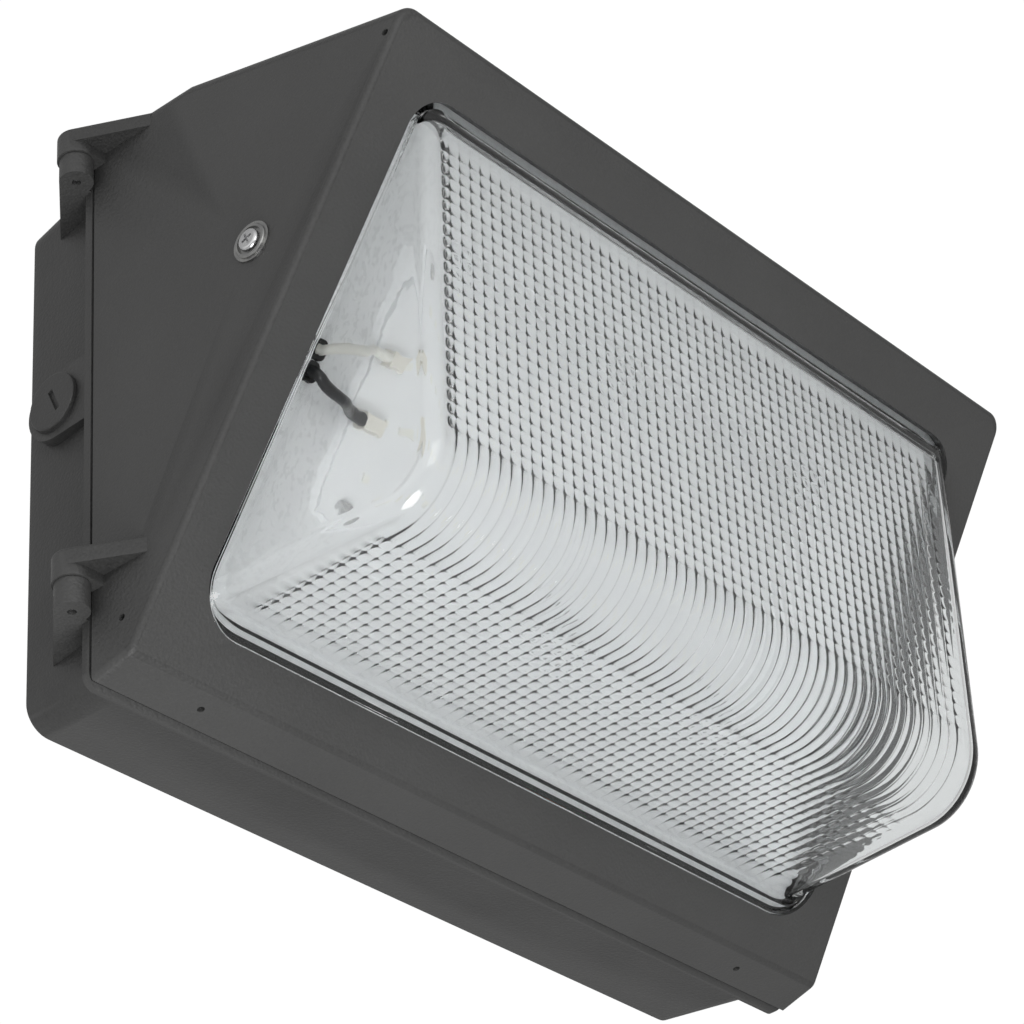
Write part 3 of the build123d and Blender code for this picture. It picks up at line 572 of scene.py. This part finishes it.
MATS = {
    "casting": casting_material("casting_powder_coat", (0.017, 0.017, 0.0167), (0.044, 0.044, 0.0434), 0.52),
    "plug": casting_material("plug_powder_coat", (0.019, 0.019, 0.0187), (0.043, 0.043, 0.0424), 0.50),
    "gasket": surface("gasket_sponge", (0.10, 0.10, 0.10), (0.14, 0.14, 0.14), 0.8, grain=(900.0, 0.5, 0.0003)),
    "glass_gasket": surface("glass_gasket_silicone", (0.03, 0.03, 0.03), (0.045, 0.045, 0.045), 0.6, grain=(700.0, 0.3, 0.0002)),
    "seal": surface("seal_rubber", (0.02, 0.02, 0.02), (0.035, 0.035, 0.035), 0.7, grain=(800.0, 0.3, 0.0002)),
    "reflector": surface("reflector_enamel", (0.88, 0.89, 0.90), (0.90, 0.91, 0.92), 0.30, grain=(350.0, 0.05, 0.0001), coat=0.3),
    "board": surface("board_mask", (0.84, 0.85, 0.86), (0.88, 0.89, 0.90), 0.4, grain=(700.0, 0.15, 0.0001)),
    "led": surface("led_phosphor", (0.84, 0.84, 0.79), (0.88, 0.88, 0.84), 0.35, grain=(1500.0, 0.2, 0.0001)),
    "spreader": surface("spreader_milled", (0.62, 0.62, 0.63), (0.72, 0.72, 0.73), 0.35, 1.0, grain=(900.0, 0.3, 0.0001), brushed=(1.0, 0.05, 0.05)),
    "zinc_steel": surface("zinc_plated_steel", (0.55, 0.55, 0.54), (0.70, 0.70, 0.68), 0.38, 1.0, grain=(600.0, 0.25, 0.0001), mottle=160.0),
    "stainless": surface("stainless_steel", (0.58, 0.58, 0.59), (0.70, 0.70, 0.70), 0.24, 1.0, grain=(1400.0, 0.2, 0.0001), mottle=200.0),
    "washer": surface("washer_dull_steel", (0.26, 0.26, 0.26), (0.36, 0.36, 0.35), 0.34, 1.0, grain=(1200.0, 0.25, 0.0001), mottle=220.0),
    "driver_case": surface("driver_case_anodised", (0.18, 0.18, 0.19), (0.23, 0.23, 0.24), 0.42, 0.7, grain=(900.0, 0.2, 0.0001), brushed=(0.04, 1.0, 1.0)),
    "lead_white": surface("lead_white_pvc", (0.80, 0.79, 0.74), (0.86, 0.85, 0.80), 0.38, grain=(500.0, 0.15, 0.0001)),
    "lead_black": surface("lead_black_pvc", (0.012, 0.012, 0.014), (0.022, 0.022, 0.024), 0.38, grain=(500.0, 0.15, 0.0001)),
    "lead_green": surface("lead_green_pvc", (0.03, 0.24, 0.07), (0.05, 0.30, 0.10), 0.40, grain=(500.0, 0.15, 0.0001)),
    "connector": surface("connector_nylon", (0.72, 0.70, 0.63), (0.80, 0.78, 0.72), 0.45, grain=(500.0, 0.2, 0.0001)),
    "wire_nut": surface("wire_connector_plastic", (0.70, 0.14, 0.02), (0.80, 0.20, 0.04), 0.35, grain=(400.0, 0.2, 0.0002)),
    "grommet": surface("grommet_rubber", (0.012, 0.012, 0.012), (0.022, 0.022, 0.022), 0.6, grain=(700.0, 0.3, 0.0001)),
    "green_screw": surface("ground_screw_green", (0.03, 0.22, 0.07), (0.05, 0.30, 0.11), 0.35, 0.5, grain=(800.0, 0.2, 0.0001)),
}

# pressed glass: clear, with the faint unevenness of a moulded face
g, nt, b = new_material("glass_pressed")
vec = coords(nt)
b.inputs["Base Color"].default_value = (0.97, 0.985, 0.985, 1)
b.inputs["Transmission Weight"].default_value = 1.0
b.inputs["IOR"].default_value = 1.47
w1 = noise(nt, vec, 60.0, 2.0)
# the end panels are clearer than the prism field
sep = nt.nodes.new("ShaderNodeSeparateXYZ")
nt.links.new(vec, sep.inputs[0])
ax = nt.nodes.new("ShaderNodeMath")
ax.operation = "ABSOLUTE"
nt.links.new(sep.outputs[0], ax.inputs[0])
haze = spread(nt, ax.outputs[0], 0.1415, 0.1455, 0.03, 0.0)
add = nt.nodes.new("ShaderNodeMath")
add.operation = "ADD"
nt.links.new(spread(nt, w1, 0.3, 0.7, 0.015, 0.045), add.inputs[0])
nt.links.new(haze, add.inputs[1])
nt.links.new(add.outputs[0], b.inputs["Roughness"])
w2 = noise(nt, vec, 45.0, 3.0)
nt.links.new(bump(nt, w2, 0.10, 0.002), b.inputs["Normal"])
MATS["glass"] = g

SLOT_OF = {}
for n in NODES:
    if n in ("rear_housing", "door_frame"):
        SLOT_OF[n] = "casting"
for n, s in {
    "conduit_plug_left": "plug", "conduit_plug_right": "plug", "plug_seals": "seal", "door_gasket": "gasket",
    "glass_gasket": "glass_gasket", "glass_refractor": "glass", "reflector_tray": "reflector",
    "led_board_left": "board", "led_board_right": "board", "led_chips": "led", "board_terminals": "connector",
    "board_screws": "stainless", "heat_spreader": "spreader", "tray_bracket_left": "zinc_steel",
    "tray_bracket_right": "zinc_steel", "side_screw_left": "stainless", "side_screw_right": "stainless",
    "cup_washer_left": "stainless", "cup_washer_right": "stainless", "bracket_nuts": "zinc_steel",
    "lead_grommets": "grommet", "led_lead_white": "lead_white", "led_lead_black": "lead_black",
    "connector_plug": "connector", "connector_socket": "connector", "hinge_pin_upper": "stainless",
    "hinge_pin_lower": "stainless", "closing_screw_upper": "stainless", "closing_screw_lower": "stainless",
    "retaining_ring_upper": "stainless", "retaining_ring_lower": "stainless", "glass_clips": "zinc_steel",
    "glass_clip_screws": "zinc_steel", "led_driver": "driver_case", "driver_plate": "zinc_steel",
    "driver_plate_screws": "zinc_steel", "driver_lead_white": "lead_white", "driver_lead_black": "lead_black",
    "supply_lead_black": "lead_black", "supply_lead_white": "lead_white", "wire_connectors": "wire_nut",
    "ground_screw": "green_screw", "ground_lead": "lead_green",
}.items():
    SLOT_OF[n] = s
for n, ob in NODES.items():
    if n not in SLOT_OF:
        print("no slot for", n)
        continue
    ob.data.materials.clear()
    ob.data.materials.append(MATS["washer" if n.startswith("cup_washer") else SLOT_OF[n]])
glass.data.materials.append(MATS["glass"])

# ---------------------------------------------------------------------------------------------
# Studio: floor, lights, camera
# ---------------------------------------------------------------------------------------------
fv = [(-6, -6, -2.2), (6, -6, -2.2), (6, 6, -2.2), (-6, 6, -2.2)]
floor = mesh_from_arrays("studio_floor", fv, [(0, 1, 2, 3)], smooth=False)
fm, nt, b = new_material("studio_floor_paint")
b.inputs["Roughness"].default_value = 0.8
nt.links.new(ramp(nt, noise(nt, coords(nt), 3.0), [(0.3, (0.86, 0.86, 0.86)), (0.7, (0.90, 0.90, 0.90))]), b.inputs["Base Color"])
floor.data.materials.append(fm)


def area(name, at, to, size, power, colour=(1, 1, 1)):
    ld = bpy.data.lights.new(name, "AREA")
    ld.shape = "RECTANGLE"
    ld.size, ld.size_y = size
    ld.energy = power
    ld.color = colour
    ob = bpy.data.objects.new(name, ld)
    bpy.context.scene.collection.objects.link(ob)
    ob.location = at
    ob.rotation_mode = "QUATERNION"
    ob.rotation_quaternion = (Vector(to) - Vector(at)).to_track_quat("-Z", "Y")
    return ob


area("key_left", (-0.62, -0.95, -0.05), (-0.10, -0.15, 0), (0.5, 0.5), 1.5)
area("under", (-0.30, -0.36, -0.85), (-0.15, -0.1, -0.05), (0.4, 0.4), 5.4)

world = bpy.data.worlds.new("studio")
bpy.context.scene.world = world
world.use_nodes = True
nt = world.node_tree
nt.nodes.clear()
out = nt.nodes.new("ShaderNodeOutputWorld")
seen = nt.nodes.new("ShaderNodeBackground")
seen.inputs["Color"].default_value = (1, 1, 1, 1)
seen.inputs["Strength"].default_value = 1.02
lit = nt.nodes.new("ShaderNodeBackground")
lit.inputs["Color"].default_value = (1, 1, 1, 1)
# brighter towards the left and the front, as from a large soft box on that side
wc = nt.nodes.new("ShaderNodeTexCoord")
dot = nt.nodes.new("ShaderNodeVectorMath")
dot.operation = "DOT_PRODUCT"
dot.inputs[1].default_value = (-0.62, -0.50, -0.60)
nt.links.new(wc.outputs["Generated"], dot.inputs[0])
both = nt.nodes.new("ShaderNodeMath")
both.operation = "ADD"
nt.links.new(spread(nt, dot.outputs["Value"], -0.9, 0.9, 0.02, 1.28), both.inputs[0])
nt.links.new(spread(nt, dot.outputs["Value"], -0.95, -0.34, 0.70, 0.0), both.inputs[1])     # a softer box behind and above
nt.links.new(both.outputs[0], lit.inputs["Strength"])
lp = nt.nodes.new("ShaderNodeLightPath")
mx = nt.nodes.new("ShaderNodeMixShader")
nt.links.new(lp.outputs["Is Camera Ray"], mx.inputs[0])
nt.links.new(lit.outputs[0], mx.inputs[1])
nt.links.new(seen.outputs[0], mx.inputs[2])
nt.links.new(mx.outputs[0], out.inputs[0])

R0 = Vector((0.6699, -0.7396, -0.0650)).normalized()
R2 = Vector((0.6326, 0.5227, 0.5716)).normalized()
right = (R0 - R2 * R0.dot(R2)).normalized()
up = right.cross(R2).normalized()
if up.z < 0:
    up = -up
back = -R2
cam = bpy.data.objects.new("camera", bpy.data.cameras.new("camera"))
bpy.context.scene.collection.objects.link(cam)
cam.matrix_world = Matrix((
    (right.x, up.x, back.x, -0.807),
    (right.y, up.y, back.y, -0.744),
    (right.z, up.z, back.z, -0.7088),
    (0, 0, 0, 1)))
cam.data.sensor_width = 36.0
cam.data.lens = 120.14
cam.data.clip_start, cam.data.clip_end = 0.05, 50.0
bpy.context.scene.camera = cam
bpy.context.scene.view_settings.view_transform = "Standard"
bpy.context.scene.view_settings.look = "None"
